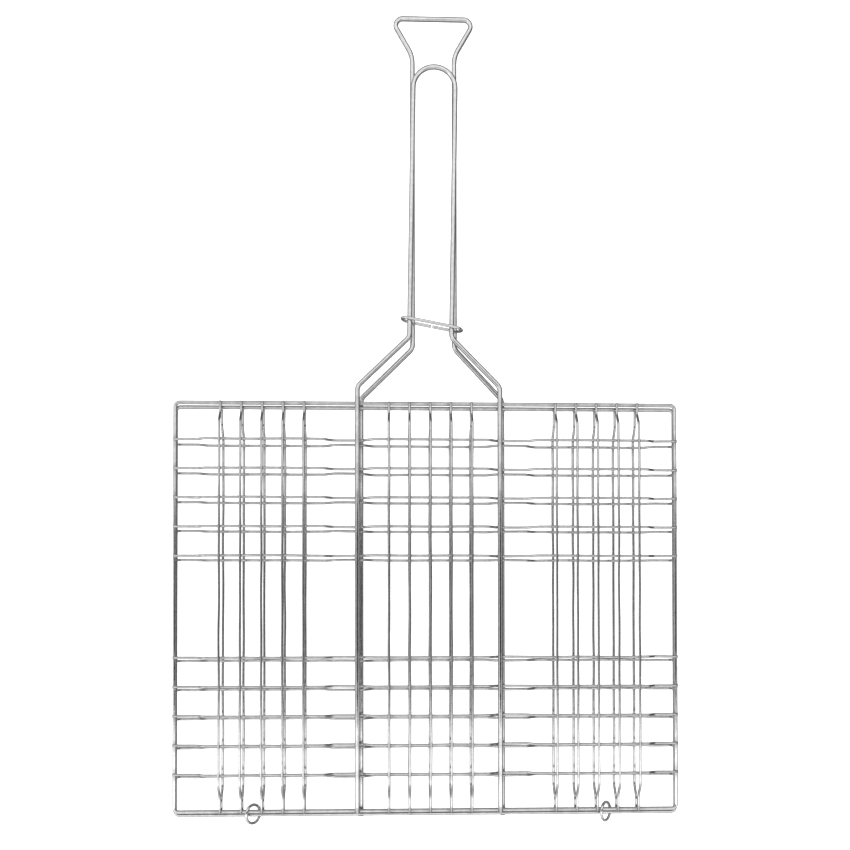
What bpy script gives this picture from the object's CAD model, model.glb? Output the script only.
import math
import random

import bpy
from mathutils import Euler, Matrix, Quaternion, Vector
from mathutils.kdtree import KDTree


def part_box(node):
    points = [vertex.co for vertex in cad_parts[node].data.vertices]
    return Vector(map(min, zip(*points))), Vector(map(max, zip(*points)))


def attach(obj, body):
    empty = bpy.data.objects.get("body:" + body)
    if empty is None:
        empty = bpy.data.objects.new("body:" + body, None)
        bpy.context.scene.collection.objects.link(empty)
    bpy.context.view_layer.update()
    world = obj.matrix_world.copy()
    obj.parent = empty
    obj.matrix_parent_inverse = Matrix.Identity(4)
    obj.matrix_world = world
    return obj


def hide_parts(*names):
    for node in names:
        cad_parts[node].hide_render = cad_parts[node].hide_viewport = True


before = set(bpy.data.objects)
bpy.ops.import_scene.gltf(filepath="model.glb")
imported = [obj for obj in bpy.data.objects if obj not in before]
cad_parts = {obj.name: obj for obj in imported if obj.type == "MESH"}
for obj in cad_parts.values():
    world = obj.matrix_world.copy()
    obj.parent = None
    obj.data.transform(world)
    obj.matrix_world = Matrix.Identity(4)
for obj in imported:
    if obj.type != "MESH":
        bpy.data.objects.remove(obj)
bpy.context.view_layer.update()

# Looks of a hinged wire grill basket in bright plated wire. All sizes are in metres.

HALVES = ("lower", "upper")
GROUPS = ("left", "mid", "right")
ROWS = 10
WIRES_PER_GROUP = 5

# Wire radii
FRAME_R = 0.0015
HANDLE_R = 0.002
GRID_R = 0.001
LATCH_R = 0.0012
HINGE_R = 0.0011
# How deep a spot weld presses two crossing wires together
WELD_DEPTH = 0.0002

# Bends of the grid wires: they step at 3 in 4 between their levels
STEP_SLOPE = 4 / 3
STEP_BEND = 0.0075
FRAME_CORNER = 0.0035
# Cross wires: flat runs at the frame and on the two sides of a rod
FRAME_RUN = 0.018
OUTER_ROD_RUN = 0.020
INNER_ROD_RUN = 0.003
# Long wires: flat runs at the hinge end and at the handle end of each half
HINGE_END_RUN = 0.012
HANDLE_END_RUN = {"lower": 0.015, "upper": 0.008}

# Handle wires, measured from the middle of their own half
ROD_SPACING = 0.113
LEG_SPACING = 0.0335
LEG_OFFSET = 0.0015
LEG_LEAN = {"lower": 0.0, "upper": math.radians(0.9)}
LEAN_FROM = 0.210
SPLAY_START = {"lower": 0.169, "upper": 0.174}
SPLAY_END = {"lower": 0.209, "upper": 0.214}
SPLAY_BEND = 0.008
LOOP_START = 0.445
LOOP_WIDTH = 0.068
FLARE_BEND = 0.022
LOOP_BEND = 0.0055

# Rings
LATCH_INSIDE_LENGTH = 0.046
LATCH_INSIDE_HEIGHT = 0.0094
LATCH_SLANT = math.radians(11)
LATCH_GAP = 0.0008
HINGE_RING_RADIUS = 0.0072
HINGE_RING_TILT = math.radians(40)
HINGE_RING_GAP = math.radians(10)

# Hand-bent wire wanders this far to the side, over about this length
WANDER = 0.00022
WANDER_LENGTH = 0.085

# Plating of each slot: its reflectance, its roughness and the strength of its die marks
PLATE_TONE = {"frame_wire": 0.66, "handle_wire": 0.66, "grid_wire": 0.62, "ring_wire": 0.78}
PLATE_GLOSS = {"frame_wire": 0.07, "handle_wire": 0.06, "grid_wire": 0.09, "ring_wire": 0.08}
DIE_MARKS = {"frame_wire": 0.25, "handle_wire": 0.25, "grid_wire": 0.3, "ring_wire": 0.3}
# The plate's uneven tones as shares of that reflectance, its stain at a weld, and the weld's tones
DARK_PLATE = (0.88, 0.88, 0.89)
LIGHT_PLATE = (1.06, 1.06, 1.07)
WELD_STAIN = (0.72, 0.70, 0.68, 1)
DARK_WELD = (0.34, 0.33, 0.32, 1)
LIGHT_WELD = (0.55, 0.54, 0.53, 1)

# Mesh detail: the largest turn between two rings of a tube, the longest straight stretch between
# them, and the number of sides of each kind of wire
TURN_STEP = math.radians(9)
RUN_STEP = 0.006
HINGE_RING_STEPS = 72
FRAME_SIDES = 20
HANDLE_SIDES = 24
GRID_SIDES = 16
RING_SIDES = 20
# Cut ends of wires, as shares of the wire radius: length of the chamfer and radius at the tip
CHAMFER = 0.18
CUT_TIP = 0.8

# Spot welds, as shares of the wire radii: sideways spread, thickness with its uneven factor, and
# size of the four lobes
WELD_SPREAD = (0.76, 0.86)
WELD_THICKNESS = 0.45
WELD_UNEVEN = (0.85, 1.15)
WELD_LOBE = (0.65, 0.95)
# Welds on the frame wire sit this share of its radius inside its middle
WELD_INSET = 0.3
WELD_AROUND = 16
WELD_RINGS = 7
# The plate is dull up to this many wire radii from a weld
WELD_FADE = 4

# Stage
FLOOR_RADIUS = 4.0
WALL_CURVE = 1.2
WALL_CURVE_STEPS = 12
WALL_HEIGHT = 3.0
STAGE_AROUND = 64
STAGE_GLOW = 0.62
# The dark arm that holds the camera: half its length and width, how far it is above the camera
# and towards the handle side, and how blunt its ends are (1 is an ellipse, 0 a rectangle)
ARM_HALF_LENGTH = 0.85
ARM_HALF_WIDTH = 0.19
ARM_ABOVE = 0.02
ARM_TOWARDS_HANDLE = 0.01
ARM_BLUNTNESS = 0.6
ARM_AROUND = 48
# Brightness of the surroundings, from straight down (0) over the horizon (0.5) to overhead (1):
# away from the window, and towards it
DIM_SKY = [
    (0.0, 0.10), (0.26, 0.16), (0.34, 0.45), (0.41, 0.42),
    (0.47, 0.05), (0.66, 0.05), (0.80, 0.75), (0.88, 1.05),
]
WINDOW_SKY = [
    (0.0, 0.10), (0.26, 0.22), (0.35, 0.60), (0.50, 0.50),
    (0.60, 0.85), (0.78, 1.15), (1.0, 1.15),
]
# The window is on the left and on the hinge side: the way that points away from it, and how far
# along that way (up to 1) the change from the window's sky to the dim one reaches
WINDOW_AWAY = (0.75, 0.66, 0.0)
WINDOW_EDGE = 0.55
# How much brighter the ceiling is in a strip on the hinge side of the camera's arm and over the
# handle, from the far hinge side (0) over the middle (0.5) to the far handle side (1)
CEILING_STRIPS = [
    (0.0, 1.0), (0.28, 1.0), (0.34, 1.7), (0.43, 1.7),
    (0.47, 1.0), (0.62, 1.0), (0.70, 1.15), (1.0, 1.15),
]

# Camera, from the middle of the closed basket
CAMERA_OFFSET = Vector((-0.0303, -0.0032, 0.7886))
CAMERA_TILT = (-0.0146, 0.0362, 0.0005)
CAMERA_LENS = 42.08
CAMERA_SENSOR = 36.0
CAMERA_SHIFT_UP = 0.2057


# Where things are, from the frame

def middle(node):
    low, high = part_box(node)
    return (low + high) / 2


BASKET = middle("lower_frame_wire")
UPPER_BASKET = middle("upper_frame_wire")
MID_Z = (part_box("lower_frame_wire")[0].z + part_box("upper_frame_wire")[1].z) / 2
SIDE = {"lower": -1, "upper": 1}
HALF_MIDDLE = {"lower": BASKET.y, "upper": UPPER_BASKET.y}


def reach(node):
    """A node's nearest and farthest distance from the closing plane."""
    low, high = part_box(node)
    return sorted((abs(low.z - MID_Z), abs(high.z - MID_Z)))


class Levels:
    """Heights of the wires' centre lines above the closing plane, for one half."""

    def __init__(self, half):
        near, far = reach(half + "_frame_wire")
        self.frame = (near + far) / 2
        self.rail_wire = far + GRID_R - WELD_DEPTH
        near, far = reach(half + "_cross_wire_1")
        self.under_rod = near + GRID_R
        self.bulge = far - GRID_R
        near, far = reach(half + "_long_wire_mid_3")
        self.long = far - GRID_R
        near, far = reach(half + "_handle_wire")
        self.leg = near + HANDLE_R
        self.rod = far - HANDLE_R


LEVELS = {half: Levels(half) for half in HALVES}


def place(half, x, y, level):
    return Vector((x, y, MID_Z + SIDE[half] * level))


# Wire paths

def rounded(corners, radii, closed=False):
    """Points along straight runs joined by round bends, none far apart."""
    count = len(corners)
    points = [] if closed else [corners[0]]
    for i in range(0 if closed else 1, count if closed else count - 1):
        here = corners[i]
        u = (here - corners[i - 1]).normalized()
        v = (corners[(i + 1) % count] - here).normalized()
        turn = u.angle(v)
        inward = u.cross(v).normalized().cross(u)
        start = here - u * radii[i] * math.tan(turn / 2)
        steps = max(2, math.ceil(turn / TURN_STEP))
        for k in range(steps + 1):
            a = turn * k / steps
            points.append(start + radii[i] * (u * math.sin(a) + inward * (1 - math.cos(a))))
    points.append(points[0].copy() if closed else corners[-1])
    filled = [points[0]]
    for end in points[1:]:
        start = filled[-1]
        length = (end - start).length
        if length < 1e-6:
            continue
        steps = max(1, math.ceil(length / RUN_STEP))
        filled += [start.lerp(end, k / steps) for k in range(1, steps + 1)]
    return filled[:-1] if closed else filled


def wander(points, across, seed):
    """Moves the points slightly to one side and back, in slow waves, as hand-bent wire does."""
    draw = random.Random(seed)
    waves = [
        (draw.uniform(0.7, 1.6), draw.uniform(0, math.tau), draw.uniform(0.2, 0.5))
        for _ in range(3)
    ]
    travelled = 0.0
    moved = [points[0].copy()]
    for before, here in zip(points, points[1:]):
        travelled += (here - before).length
        offset = sum(
            size * math.sin(math.tau * pace * travelled / WANDER_LENGTH + phase)
            for pace, phase, size in waves
        )
        moved.append(here + across * offset * WANDER)
    moved[0] += moved[1] - points[1]
    return moved


def frame_path(half):
    low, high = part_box(half + "_frame_wire")
    x = high.x - FRAME_R
    y0 = low.y + FRAME_R
    y1 = high.y - FRAME_R
    level = LEVELS[half].frame
    corners = [place(half, *xy, level) for xy in ((-x, y0), (x, y0), (x, y1), (-x, y1))]
    return rounded(corners, [FRAME_CORNER] * 4, closed=True)


def rod_places():
    """X of the grid's own rod lines: the middle of the grid, half a rod spacing either way."""
    grid = middle("lower_long_wire_mid_3").x
    return grid - ROD_SPACING / 2, grid + ROD_SPACING / 2


def cross_path(half, row):
    node = f"{half}_cross_wire_{row}"
    low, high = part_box(node)
    y = (low.y + high.y) / 2
    level = LEVELS[half]
    left, right = rod_places()
    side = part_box(half + "_frame_wire")[1].x - FRAME_R - FRAME_RUN
    frame_step = (level.bulge - level.rail_wire) * STEP_SLOPE
    rod_step = (level.bulge - level.under_rod) * STEP_SLOPE
    profile = [
        (low.x, level.rail_wire),
        (-side, level.rail_wire),
        (-side + frame_step, level.bulge),
        (left - OUTER_ROD_RUN - rod_step, level.bulge),
        (left - OUTER_ROD_RUN, level.under_rod),
        (left + INNER_ROD_RUN, level.under_rod),
        (left + INNER_ROD_RUN + rod_step, level.bulge),
        (right - INNER_ROD_RUN - rod_step, level.bulge),
        (right - INNER_ROD_RUN, level.under_rod),
        (right + OUTER_ROD_RUN, level.under_rod),
        (right + OUTER_ROD_RUN + rod_step, level.bulge),
        (side - frame_step, level.bulge),
        (side, level.rail_wire),
        (high.x, level.rail_wire),
    ]
    corners = [place(half, x, y, z) for x, z in profile]
    return wander(rounded(corners, [STEP_BEND] * len(corners)), Vector((0, 1, 0)), node)


def long_path(half, group, number):
    node = f"{half}_long_wire_{group}_{number}"
    low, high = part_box(node)
    x = (low.x + high.x) / 2
    level = LEVELS[half]
    frame_low, frame_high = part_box(half + "_frame_wire")
    hinge_y = frame_low.y + FRAME_R + HINGE_END_RUN
    handle_y = frame_high.y - FRAME_R - HANDLE_END_RUN[half]
    step = (level.long - level.rail_wire) * STEP_SLOPE
    profile = [
        (low.y, level.rail_wire),
        (hinge_y, level.rail_wire),
        (hinge_y + step, level.long),
        (handle_y - step, level.long),
        (handle_y, level.rail_wire),
        (high.y, level.rail_wire),
    ]
    corners = [place(half, x, y, z) for y, z in profile]
    return wander(rounded(corners, [STEP_BEND] * len(corners)), Vector((1, 0, 0)), node)


def handle_path(half):
    low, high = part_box(half + "_handle_wire")
    level = LEVELS[half]
    axis_x = low.x + HANDLE_R + ROD_SPACING / 2
    middle_y = HALF_MIDDLE[half]
    end_y = high.y - HANDLE_R - middle_y
    lean = LEG_LEAN[half]

    def rod_point(side, y):
        return place(half, axis_x + side * ROD_SPACING / 2, y, level.rod)

    def leg_point(x, y):
        leaned_x = LEG_OFFSET + x * math.cos(lean) + (y - LEAN_FROM) * math.sin(lean)
        leaned_y = LEAN_FROM + (y - LEAN_FROM) * math.cos(lean) - x * math.sin(lean)
        return place(half, axis_x + leaned_x, middle_y + leaned_y, level.leg)

    closed_loop = half == "lower"
    leg_end = LOOP_START if closed_loop else end_y
    end_bend = FLARE_BEND if closed_loop else LEG_SPACING / 2

    def side_points(side):
        return [
            rod_point(side, low.y),
            rod_point(side, middle_y + SPLAY_START[half]),
            leg_point(side * LEG_SPACING / 2, SPLAY_END[half]),
            leg_point(side * LEG_SPACING / 2, leg_end),
        ]

    tip = [leg_point(x, end_y) for x in (-LOOP_WIDTH / 2, LOOP_WIDTH / 2)] if closed_loop else []
    corners = side_points(-1) + tip + side_points(1)[::-1]
    side_radii = [0, SPLAY_BEND, SPLAY_BEND, end_bend]
    return rounded(corners, side_radii + [LOOP_BEND] * len(tip) + side_radii[::-1])


def latch_path():
    bend = LATCH_INSIDE_HEIGHT / 2 + LATCH_R
    end = LATCH_INSIDE_LENGTH / 2 + LATCH_R
    gap = LATCH_GAP / 2
    outline = [(gap, -bend), (end, -bend), (end, bend), (-end, bend), (-end, -bend), (-gap, -bend)]
    turned = Quaternion((0, 0, 1), -LATCH_SLANT)
    centre = middle("latch_ring")
    corners = [centre + turned @ Vector((x, 0, z)) for x, z in outline]
    return rounded(corners, [bend] * len(corners))


def hinge_ring_path(node):
    turned = Quaternion((0, 1, 0), math.pi / 2 - HINGE_RING_TILT)
    centre = middle(node)
    points = []
    for k in range(HINGE_RING_STEPS + 1):
        a = HINGE_RING_GAP / 2 + (math.tau - HINGE_RING_GAP) * k / HINGE_RING_STEPS
        points.append(centre + turned @ Vector((math.cos(a), math.sin(a), 0)) * HINGE_RING_RADIUS)
    return points


# Meshes

def new_object(name, vertices, faces, material):
    mesh = bpy.data.meshes.new(name)
    mesh.from_pydata(vertices, [], faces)
    mesh.polygons.foreach_set("use_smooth", [True] * len(faces))
    mesh.materials.append(material)
    obj = bpy.data.objects.new(name, mesh)
    bpy.context.scene.collection.objects.link(obj)
    return obj


def tangents(points, closed):
    count = len(points)
    result = []
    for i in range(count):
        if closed:
            ahead, behind = points[(i + 1) % count], points[i - 1]
        else:
            ahead, behind = points[min(i + 1, count - 1)], points[max(i - 1, 0)]
        result.append((ahead - behind).normalized())
    return result


def tube(name, points, radius, sides, material, closed=False, welds=()):
    """Round wire along the points. The point attributes wire_space (place along and around the
    wire, in radii) and near_weld (1 at a weld) are there for its material."""
    along = tangents(points, closed)
    side = along[0].orthogonal().normalized()
    rings = []
    travelled = 0.0
    for i, point in enumerate(points):
        if i:
            side.rotate(along[i - 1].rotation_difference(along[i]))
            travelled += (point - points[i - 1]).length
        side = (side - along[i] * side.dot(along[i])).normalized()
        rings.append((point, along[i], side.copy(), travelled, radius))
    if not closed:
        rings = with_cut_ends(rings, radius)
    vertices = []
    wire_space = []
    for point, direction, side, length, ring_radius in rings:
        up = direction.cross(side)
        for k in range(sides):
            a = math.tau * k / sides
            vertices.append(point + (side * math.cos(a) + up * math.sin(a)) * ring_radius)
            wire_space += [length / radius, math.cos(a), math.sin(a)]
    faces = tube_faces(len(rings), sides, closed)
    obj = new_object(name, vertices, faces, material)
    attribute = obj.data.attributes.new("wire_space", "FLOAT_VECTOR", "POINT")
    attribute.data.foreach_set("vector", wire_space)
    near_weld = obj.data.attributes.new("near_weld", "FLOAT", "POINT")
    near_weld.data.foreach_set("value", weld_closeness(vertices, welds, radius))
    return obj


def with_cut_ends(rings, radius):
    """Adds a small chamfer at both ends of a cut wire, inside its length."""
    result = list(rings)
    for end, inward in ((0, 1), (-1, -1)):
        point, direction, side, length, _ = rings[end]
        tip = (point, direction, side, length, radius * CUT_TIP)
        shoulder_place = point + direction * inward * radius * CHAMFER
        shoulder = (shoulder_place, direction, side, length, radius)
        if end == 0:
            result[0:1] = [tip, shoulder]
        else:
            result[-1:] = [shoulder, tip]
    return result


def tube_faces(ring_count, sides, closed):
    faces = []
    for i in range(ring_count if closed else ring_count - 1):
        a = i * sides
        b = (i + 1) % ring_count * sides
        for k in range(sides):
            n = (k + 1) % sides
            faces.append((a + k, a + n, b + n, b + k))
    if not closed:
        last = (ring_count - 1) * sides
        faces.append(tuple(range(sides - 1, -1, -1)))
        faces.append(tuple(range(last, last + sides)))
    return faces


def weld_closeness(vertices, welds, radius):
    """1 at a weld, falling to 0 about two wire diameters away from it."""
    if not welds:
        return [0.0] * len(vertices)
    fade = radius * WELD_FADE
    tree = KDTree(len(welds))
    for i, weld in enumerate(welds):
        tree.insert(weld, i)
    tree.balance()
    return [max(0.0, 1 - max(0.0, tree.find(v)[2] - radius) / fade) for v in vertices]


def add_weld(vertices, faces, centre, reach_x, reach_y, thickness, draw):
    """A spot weld's squeezed-out metal: a flat lump with a lobe in each corner between two
    crossing wires, never quite even."""
    around = WELD_AROUND
    first = len(vertices)
    lobe = [draw.uniform(*WELD_LOBE) for _ in range(4)]
    for j in range(1, WELD_RINGS):
        polar = math.pi * j / WELD_RINGS
        for k in range(around):
            a = math.tau * k / around
            bulge = 1 + lobe[k * 4 // around] * abs(math.sin(2 * a)) ** 1.5
            flat = math.sin(polar) ** 0.6 * bulge
            vertices.append(centre + Vector((
                reach_x * flat * math.cos(a),
                reach_y * flat * math.sin(a),
                thickness * math.cos(polar),
            )))
    top = len(vertices)
    vertices.append(centre + Vector((0, 0, thickness)))
    vertices.append(centre - Vector((0, 0, thickness)))
    for j in range(WELD_RINGS - 2):
        a = first + j * around
        for k in range(around):
            n = (k + 1) % around
            faces.append((a + k, a + around + k, a + around + n, a + n))
    last = first + (WELD_RINGS - 2) * around
    for k in range(around):
        n = (k + 1) % around
        faces.append((top, first + k, first + n))
        faces.append((top + 1, last + n, last + k))


# Welds

def half_welds(half):
    """Every spot weld of one half: its place and the radii of the two wires it joins."""
    level = LEVELS[half]
    frame_low, frame_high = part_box(half + "_frame_wire")
    frame_x = frame_high.x - FRAME_R
    rows = [middle(f"{half}_cross_wire_{row}").y for row in range(1, ROWS + 1)]
    columns = [
        middle(f"{half}_long_wire_{group}_{number}").x
        for group in GROUPS
        for number in range(1, WIRES_PER_GROUP + 1)
    ]
    handle_low, handle_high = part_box(half + "_handle_wire")
    rods = (handle_low.x + HANDLE_R, handle_low.x + HANDLE_R + ROD_SPACING)
    rails = (frame_low.y + FRAME_R, frame_high.y - FRAME_R)
    inset = FRAME_R * WELD_INSET
    weld_rails = (rails[0] + inset, rails[1] - inset)
    weld_sides = (-frame_x + inset, frame_x - inset)
    grid_level = (level.bulge + level.long) / 2
    rail_level = level.rail_wire - GRID_R + WELD_DEPTH / 2
    under_rod_level = level.under_rod + GRID_R - WELD_DEPTH / 2
    rod_rail_level = level.rod - HANDLE_R + WELD_DEPTH / 2
    welds = [(place(half, x, y, grid_level), GRID_R, GRID_R) for x in columns for y in rows]
    welds += [(place(half, x, y, rail_level), FRAME_R, GRID_R) for x in weld_sides for y in rows]
    welds += [(place(half, x, y, rail_level), GRID_R, FRAME_R) for x in columns for y in weld_rails]
    welds += [(place(half, x, y, under_rod_level), HANDLE_R, GRID_R) for x in rods for y in rows]
    welds += [(place(half, x, y, rod_rail_level), HANDLE_R, FRAME_R) for x in rods for y in rails]
    return welds


def build_welds(half, welds, material):
    """All the weld lumps of one half, as one mesh."""
    vertices = []
    faces = []
    draw = random.Random(half)
    for centre, radius_x, radius_y in welds:
        thickness = WELD_THICKNESS * min(radius_x, radius_y) * draw.uniform(*WELD_UNEVEN)
        spread = draw.uniform(*WELD_SPREAD)
        add_weld(vertices, faces, centre, radius_x * spread, radius_y * spread, thickness, draw)
    return new_object(half + "_welds", vertices, faces, material)


# Materials

class Nodes:
    """A small helper that adds nodes to a material and links them."""

    def __init__(self, name):
        self.material = bpy.data.materials.new(name)
        self.material.use_nodes = True
        self.tree = self.material.node_tree
        self.shader = self.tree.nodes["Principled BSDF"]

    def add(self, kind, **values):
        node = self.tree.nodes.new("ShaderNode" + kind)
        for key, value in values.items():
            if key in node.inputs:
                node.inputs[key].default_value = value
            else:
                setattr(node, key, value)
        return node

    def link(self, source, target):
        self.tree.links.new(source, target)

    def ramp(self, factor, low, high, to_low, to_high):
        node = self.add("MapRange")
        self.link(factor, node.inputs["Value"])
        for key, value in (
            ("From Min", low), ("From Max", high), ("To Min", to_low), ("To Max", to_high)
        ):
            node.inputs[key].default_value = value
        return node.outputs["Result"]


def bright_wire(slot):
    """Nickel-chrome plate over drawn wire: fine die marks along the wire, a slightly uneven
    plate, and a duller, greyer patch at each weld."""
    nodes = Nodes(slot.replace("_wire", "_plate"))
    shader = nodes.shader
    shader.inputs["Metallic"].default_value = 1.0
    wire_space = nodes.add("Attribute", attribute_name="wire_space")
    near_weld = nodes.add("Attribute", attribute_name="near_weld")
    place_in_space = nodes.add("TexCoord")

    stretched = nodes.add("Mapping")
    stretched.inputs["Scale"].default_value = (0.05, 5.0, 5.0)
    nodes.link(wire_space.outputs["Vector"], stretched.inputs["Vector"])
    marks = nodes.add("TexNoise", Scale=1.0, Detail=3.0, Roughness=0.6)
    nodes.link(stretched.outputs["Vector"], marks.inputs["Vector"])

    plate = nodes.add("TexNoise", Scale=260.0, Detail=4.0, Roughness=0.55)
    nodes.link(place_in_space.outputs["Object"], plate.inputs["Vector"])
    specks = nodes.add("TexNoise", Scale=2400.0, Detail=2.0, Roughness=0.5)
    nodes.link(place_in_space.outputs["Object"], specks.inputs["Vector"])

    tones = nodes.add("ValToRGB")
    tones.color_ramp.elements[0].position = 0.3
    tones.color_ramp.elements[0].color = [PLATE_TONE[slot] * share for share in DARK_PLATE] + [1]
    tones.color_ramp.elements[1].position = 0.7
    tones.color_ramp.elements[1].color = [PLATE_TONE[slot] * share for share in LIGHT_PLATE] + [1]
    nodes.link(plate.outputs["Fac"], tones.inputs["Fac"])
    weld_tone = nodes.add("Mix", data_type="RGBA", blend_type="MULTIPLY")
    weld_tone.inputs["B"].default_value = WELD_STAIN
    nodes.link(nodes.ramp(near_weld.outputs["Fac"], 0.2, 1.0, 0.0, 0.8), weld_tone.inputs["Factor"])
    nodes.link(tones.outputs["Color"], weld_tone.inputs["A"])
    nodes.link(weld_tone.outputs["Result"], shader.inputs["Base Color"])

    gloss = PLATE_GLOSS[slot]
    smooth = nodes.ramp(marks.outputs["Fac"], 0.3, 0.7, gloss, gloss + 0.09)
    dull = nodes.ramp(near_weld.outputs["Fac"], 0.3, 1.0, 0.0, 0.16)
    total = nodes.add("Math", operation="ADD")
    nodes.link(smooth, total.inputs[0])
    nodes.link(dull, total.inputs[1])
    nodes.link(total.outputs["Value"], shader.inputs["Roughness"])

    fine = nodes.add("Bump", Strength=DIE_MARKS[slot], Distance=0.00006)
    nodes.link(marks.outputs["Fac"], fine.inputs["Height"])
    grain = nodes.add("Bump", Strength=0.10, Distance=0.00005)
    nodes.link(specks.outputs["Fac"], grain.inputs["Height"])
    nodes.link(fine.outputs["Normal"], grain.inputs["Normal"])
    nodes.link(grain.outputs["Normal"], shader.inputs["Normal"])
    return nodes.material


def weld_metal():
    """Plated weld lumps: the same plate, greyer, rougher and slightly pitted."""
    nodes = Nodes("weld_metal")
    shader = nodes.shader
    shader.inputs["Metallic"].default_value = 1.0
    place_in_space = nodes.add("TexCoord")
    pits = nodes.add("TexNoise", Scale=1500.0, Detail=4.0, Roughness=0.6)
    nodes.link(place_in_space.outputs["Object"], pits.inputs["Vector"])
    tones = nodes.add("ValToRGB")
    tones.color_ramp.elements[0].position = 0.35
    tones.color_ramp.elements[0].color = DARK_WELD
    tones.color_ramp.elements[1].position = 0.65
    tones.color_ramp.elements[1].color = LIGHT_WELD
    nodes.link(pits.outputs["Fac"], tones.inputs["Fac"])
    nodes.link(tones.outputs["Color"], shader.inputs["Base Color"])
    nodes.link(nodes.ramp(pits.outputs["Fac"], 0.3, 0.7, 0.22, 0.42), shader.inputs["Roughness"])
    bump = nodes.add("Bump", Strength=0.35, Distance=0.0001)
    nodes.link(pits.outputs["Fac"], bump.inputs["Height"])
    nodes.link(bump.outputs["Normal"], shader.inputs["Normal"])
    return nodes.material


def studio_white():
    nodes = Nodes("studio_white")
    nodes.shader.inputs["Base Color"].default_value = (0.9, 0.9, 0.9, 1)
    nodes.shader.inputs["Emission Color"].default_value = (1, 1, 1, 1)
    nodes.shader.inputs["Emission Strength"].default_value = STAGE_GLOW
    nodes.shader.inputs["Roughness"].default_value = 0.9
    nodes.shader.inputs["Specular IOR Level"].default_value = 0.1
    return nodes.material


def arm_black():
    nodes = Nodes("arm_black")
    nodes.shader.inputs["Base Color"].default_value = (0.03, 0.03, 0.03, 1)
    nodes.shader.inputs["Roughness"].default_value = 0.9
    return nodes.material


# The basket

def build_half(half, materials):
    body = half + "_half"
    welds = half_welds(half)
    spots = [weld[0] for weld in welds]

    def add(name, node, slot, points, radius, sides, closed=False):
        piece = tube(name, points, radius, sides, materials[slot], closed, spots)
        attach(piece, body)
        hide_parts(node)

    path = frame_path(half)
    add(half + "_frame", half + "_frame_wire", "frame_wire", path, FRAME_R, FRAME_SIDES, True)
    path = handle_path(half)
    add(half + "_handle", half + "_handle_wire", "handle_wire", path, HANDLE_R, HANDLE_SIDES)
    for row in range(1, ROWS + 1):
        node = f"{half}_cross_wire_{row}"
        path = cross_path(half, row)
        add(f"{half}_cross_{row}", node, "grid_wire", path, GRID_R, GRID_SIDES)
    for group in GROUPS:
        for number in range(1, WIRES_PER_GROUP + 1):
            node = f"{half}_long_wire_{group}_{number}"
            path = long_path(half, group, number)
            add(f"{half}_long_{group}_{number}", node, "grid_wire", path, GRID_R, GRID_SIDES)

    piece = build_welds(half, welds, materials["weld"])
    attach(piece, body)


def build_rings(materials):
    rings = [("latch_ring", latch_path(), LATCH_R)]
    for node in ("hinge_ring_left", "hinge_ring_right"):
        rings.append((node, hinge_ring_path(node), HINGE_R))
    for node, points, radius in rings:
        piece = tube(node + "_wire", points, radius, RING_SIDES, materials["ring_wire"])
        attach(piece, node)
        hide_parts(node)


# Stage, light and camera

def build_stage():
    """A white floor that curves up into a wall all round."""
    outline = [(FLOOR_RADIUS * 0.25, 0.0), (FLOOR_RADIUS, 0.0)]
    for k in range(1, WALL_CURVE_STEPS + 1):
        a = math.pi / 2 * k / WALL_CURVE_STEPS
        outline.append((FLOOR_RADIUS + WALL_CURVE * math.sin(a), WALL_CURVE * (1 - math.cos(a))))
    outline.append((FLOOR_RADIUS + WALL_CURVE, WALL_HEIGHT))
    around = STAGE_AROUND
    vertices = []
    faces = []
    for radius, height in outline:
        for k in range(around):
            a = math.tau * k / around
            vertices.append(Vector((radius * math.cos(a), radius * math.sin(a), height)))
    for j in range(len(outline) - 1):
        for k in range(around):
            a = j * around
            n = (k + 1) % around
            faces.append((a + k, a + around + k, a + around + n, a + n))
    faces.append(tuple(range(around)))
    stage = new_object("studio_floor", vertices, faces, studio_white())
    # The floor and wall light the wires but aren't mirrored in them
    stage.visible_glossy = False


def from_minus_one(tree, value):
    """Maps -1 to 1 onto the 0 to 1 of a colour ramp."""
    mapped = tree.nodes.new("ShaderNodeMapRange")
    mapped.inputs["From Min"].default_value = -1
    tree.links.new(value, mapped.inputs["Value"])
    return mapped.outputs["Result"]


def sky_ramp(tree, position_along, stops):
    """Grey levels between the stops, at the position that another node gives."""
    ramp = tree.nodes.new("ShaderNodeValToRGB")
    for position, _ in stops[1:-1]:
        ramp.color_ramp.elements.new(position)
    for element, (position, value) in zip(ramp.color_ramp.elements, stops):
        element.position = position
        element.color = (value, value, value, 1)
    tree.links.new(position_along, ramp.inputs["Fac"])
    return ramp.outputs["Color"]


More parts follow.
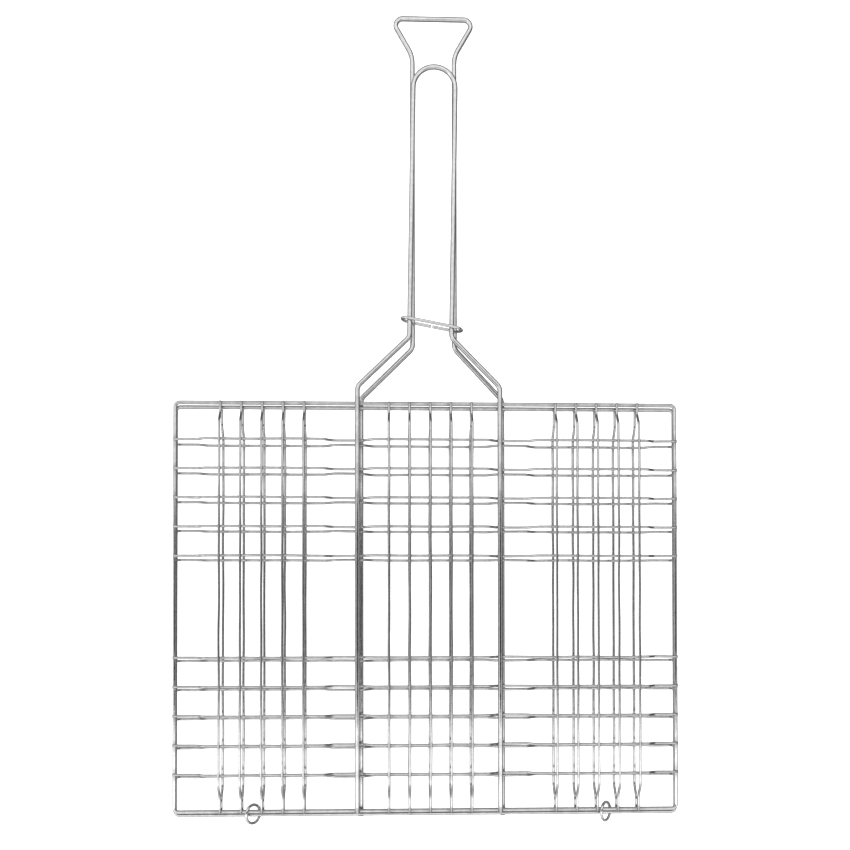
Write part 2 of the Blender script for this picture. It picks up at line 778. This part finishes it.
def build_world():
    """A white ceiling and a wide window on the left. Away from it the studio is dark."""
    world = bpy.data.worlds.new("studio")
    bpy.context.scene.world = world
    world.use_nodes = True
    tree = world.node_tree
    direction = tree.nodes.new("ShaderNodeTexCoord")
    split = tree.nodes.new("ShaderNodeSeparateXYZ")
    tree.links.new(direction.outputs["Generated"], split.inputs["Vector"])
    height = from_minus_one(tree, split.outputs["Z"])
    away = tree.nodes.new("ShaderNodeVectorMath")
    away.operation = "DOT_PRODUCT"
    away.inputs[1].default_value = WINDOW_AWAY
    tree.links.new(direction.outputs["Generated"], away.inputs[0])
    facing = tree.nodes.new("ShaderNodeMapRange")
    facing.inputs["From Min"].default_value = -WINDOW_EDGE
    facing.inputs["From Max"].default_value = WINDOW_EDGE
    facing.inputs["To Min"].default_value = 1
    facing.inputs["To Max"].default_value = 0
    tree.links.new(away.outputs["Value"], facing.inputs["Value"])
    mixed = tree.nodes.new("ShaderNodeMix")
    mixed.data_type = "RGBA"
    tree.links.new(facing.outputs["Result"], mixed.inputs["Factor"])
    tree.links.new(sky_ramp(tree, height, DIM_SKY), mixed.inputs["A"])
    tree.links.new(sky_ramp(tree, height, WINDOW_SKY), mixed.inputs["B"])
    background = tree.nodes["Background"]
    tree.links.new(mixed.outputs["Result"], background.inputs["Color"])
    strip = sky_ramp(tree, from_minus_one(tree, split.outputs["Y"]), CEILING_STRIPS)
    tree.links.new(strip, background.inputs["Strength"])


def camera_place():
    return Vector((BASKET.x, BASKET.y, MID_Z)) + CAMERA_OFFSET


def build_camera_arm():
    """A dark arm that holds the camera. It is only there to be mirrored in the wires below it."""
    centre = camera_place() + Vector((0, ARM_TOWARDS_HANDLE, ARM_ABOVE))
    around = ARM_AROUND
    outline = []
    for k in range(around):
        a = math.tau * k / around
        along = math.copysign(abs(math.cos(a)) ** ARM_BLUNTNESS, math.cos(a))
        across = math.copysign(abs(math.sin(a)) ** ARM_BLUNTNESS, math.sin(a))
        outline.append(Vector((along * ARM_HALF_LENGTH, across * ARM_HALF_WIDTH, 0)))
    vertices = [centre + point * size for size in (0.6, 1.0) for point in outline]
    faces = [tuple(range(around))]
    for k in range(around):
        n = (k + 1) % around
        faces.append((k, around + k, around + n, n))
    arm = new_object("camera_arm", vertices, faces, arm_black())
    arm.visible_camera = False
    arm.visible_diffuse = False
    arm.visible_shadow = False


def build_camera():
    data = bpy.data.cameras.new("camera")
    data.sensor_width = CAMERA_SENSOR
    data.lens = CAMERA_LENS
    data.shift_y = CAMERA_SHIFT_UP
    data.clip_start = 0.01
    data.clip_end = 50
    camera = bpy.data.objects.new("camera", data)
    bpy.context.scene.collection.objects.link(camera)
    camera.location = camera_place()
    to_camera = Euler(CAMERA_TILT, "XYZ").to_matrix()
    camera.rotation_euler = to_camera.transposed().to_euler()
    bpy.context.scene.camera = camera


bpy.context.scene.view_settings.view_transform = "Standard"
build_camera()
build_world()
build_stage()
build_camera_arm()
wire_materials = {slot_name: bright_wire(slot_name) for slot_name in PLATE_TONE}
wire_materials["weld"] = weld_metal()
for half_name in HALVES:
    build_half(half_name, wire_materials)
build_rings(wire_materials)
